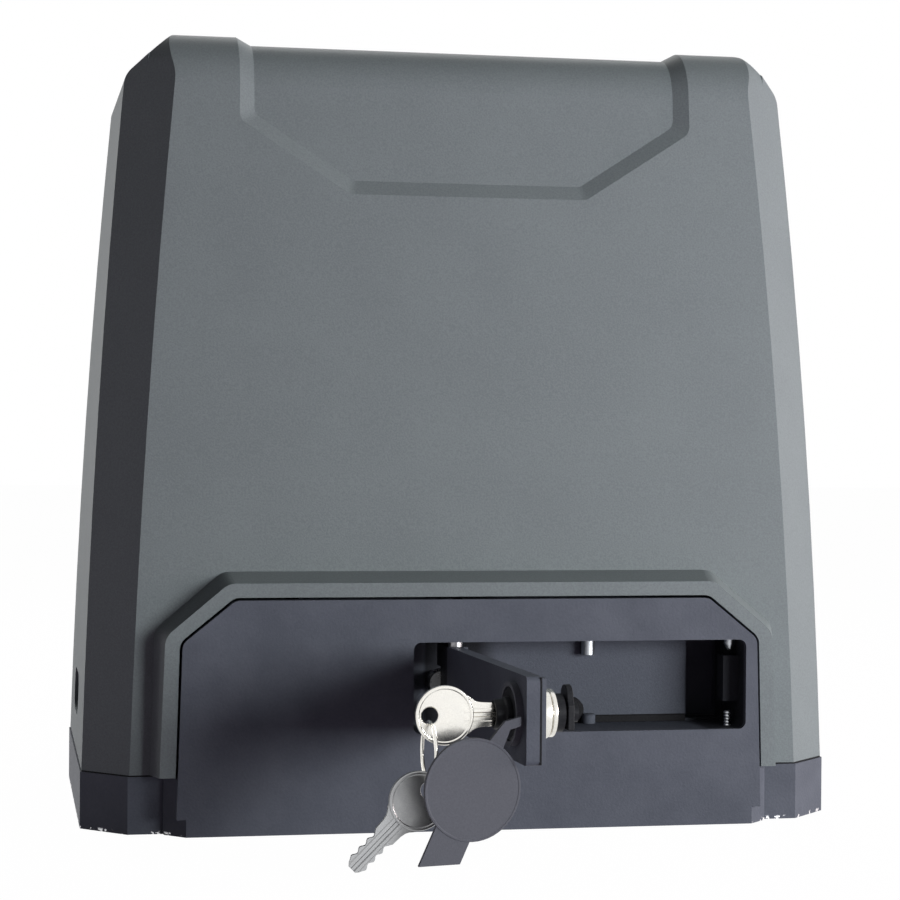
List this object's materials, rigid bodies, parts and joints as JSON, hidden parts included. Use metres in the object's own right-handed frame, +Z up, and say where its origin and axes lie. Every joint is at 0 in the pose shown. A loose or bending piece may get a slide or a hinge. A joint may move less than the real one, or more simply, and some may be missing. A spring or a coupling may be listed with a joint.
{
  "type": "sliding gate motor",
  "caption": "Sliding gate motor: cast base with a key-locked manual release lever, moulded cover, upright worm-gear motor and a rear output pinion that drives a gate rack.",
  "frame": {"origin": "centre of the four foundation slots on the underside of the base", "axes": "+Z up, +X along the gate to the right seen from the user's side, -Y towards the user, +Y towards the gate's rack"},
  "size_m": [0.316, 0.3521, 0.326],
  "materials": {
    "cast_black": "black powder coat on die-cast aluminium",
    "cover_plastic": "fine texture",
    "cast_bare": "as cast",
    "steel": "ground",
    "nickel": "bright nickel",
    "zinc": "zinc plated",
    "black_steel": "blackened",
    "grey_rubber": "matt",
    "black_rubber": "matt",
    "bronze": "cast bronze",
    "copper": "enamelled",
    "lamination": "varnished",
    "board_green": "solder mask",
    "terminal_green": "moulded",
    "component_black": "moulded",
    "capacitor_white": "sleeve",
    "dark_plastic": "moulded"
  },
  "bodies": {
    "base": {"base_housing": "cast_black", "cover": "cover_plastic", "cover_screws": "zinc", "cover_seal": "black_rubber", "lever_pin": "steel", "front_bearing": "steel", "rear_bearing": "steel", "shaft_seal": "black_rubber", "worm_bearing": "steel", "motor_lower_bell": "cast_bare", "motor_upper_bell": "cast_bare", "motor_stator": "lamination", "motor_windings": "copper", "motor_lower_bearing": "steel", "motor_upper_bearing": "steel", "motor_bolts": "zinc", "gear_case_lid": "cast_bare", "lid_screws": "zinc", "transformer_core": "lamination", "transformer_coils": "copper", "capacitor": "capacitor_white", "capacitor_clamp": "dark_plastic", "board_bracket": "dark_plastic", "control_board": "board_green", "terminal_blocks": "terminal_green", "board_components": "component_black", "radio_receiver": "component_black", "limit_sensor": "dark_plastic", "levelling_screws": "zinc", "cable_grommet": "black_rubber"},
    "lever": {"release_lever": "cast_black", "lever_back_plate": "cast_black", "lock_body": "nickel", "lock_nut": "nickel", "lock_lock_ring": "nickel", "keyhole_cap_ring": "grey_rubber"},
    "lock_core": {"lock_plug": "nickel", "lock_tongue": "black_steel", "tongue_screw": "zinc"},
    "key": {"key": "nickel"},
    "ring": {"key_ring": "nickel"},
    "spare_key": {"spare_key": "nickel"},
    "cap": {"keyhole_cap": "grey_rubber"},
    "release_rod": {"release_rod": "steel"},
    "output": {"output_shaft": "steel", "rear_spacer": "steel", "front_spacer": "steel", "output_pinion": "steel", "pinion_key": "steel", "pinion_washer": "zinc", "pinion_bolt": "zinc", "pinion_spacer": "steel", "clutch_spring": "steel"},
    "collar": {"clutch_collar": "steel", "clutch_cross_pin": "steel"},
    "wheel": {"worm_wheel_rim": "bronze", "worm_wheel_hub": "steel"},
    "rotor": {"motor_shaft": "steel", "motor_rotor": "lamination"}
  },
  "joints": [
    {"name": "lever_hinge", "type": "hinge", "parent": "base", "child": "lever", "pos_m": [-0.008, -0.09705, 0.0585], "axis": [0, 0, 1], "range_deg": [0, 87]},
    {"name": "lock_turn", "type": "hinge", "parent": "lever", "child": "lock_core", "pos_m": [-0.00256, -0.20091, 0.0595], "axis": [0.9986, 0.0523, 0], "range_deg": [0, 90]},
    {"name": "key_slide", "type": "slide", "parent": "lock_core", "child": "key", "axis": [-0.9986, -0.0523, 0], "range_m": [0, 0.022]},
    {"name": "ring_swing", "type": "hinge", "parent": "key", "child": "ring", "pos_m": [-0.03816, -0.20277, 0.0571], "axis": [-0.0523, 0.9986, 0], "range_deg": [0, 15]},
    {"name": "spare_key_swing", "type": "hinge", "parent": "ring", "child": "spare_key", "pos_m": [-0.03816, -0.20277, 0.0351], "axis": [-0.0523, 0.9986, 0], "range_deg": [0, 60]},
    {"name": "cap_swing", "type": "hinge", "parent": "lever", "child": "cap", "pos_m": [-0.00596, -0.21531, 0.0555], "axis": [0, 0, 1], "range_deg": [0, 30]},
    {"name": "rod_slide", "type": "slide", "parent": "base", "child": "release_rod", "axis": [0, -1, 0], "range_m": [0, 0.0056]},
    {"name": "output_spin", "type": "hinge", "parent": "base", "child": "output", "pos_m": [-0.01169, 0, 0.0585], "axis": [0, 1, 0], "continuous": true},
    {"name": "collar_slide", "type": "slide", "parent": "output", "child": "collar", "axis": [0, -1, 0], "range_m": [0, 0.0056], "deforming": ["clutch_spring"]},
    {"name": "wheel_spin", "type": "hinge", "parent": "base", "child": "wheel", "pos_m": [-0.01169, -0.024, 0.0585], "axis": [0, 1, 0], "continuous": true},
    {"name": "rotor_spin", "type": "hinge", "parent": "base", "child": "rotor", "pos_m": [0.03956, -0.024, 0.12], "axis": [0, 0, 1], "continuous": true}
  ],
  "couplings": [
    {"joint": "rod_slide", "follows": "lever_hinge", "m_per_rad": 0.003688},
    {"joint": "collar_slide", "follows": "lever_hinge", "m_per_rad": 0.003688},
    {"joint": "rotor_spin", "follows": "wheel_spin", "ratio": 32}
  ]
}
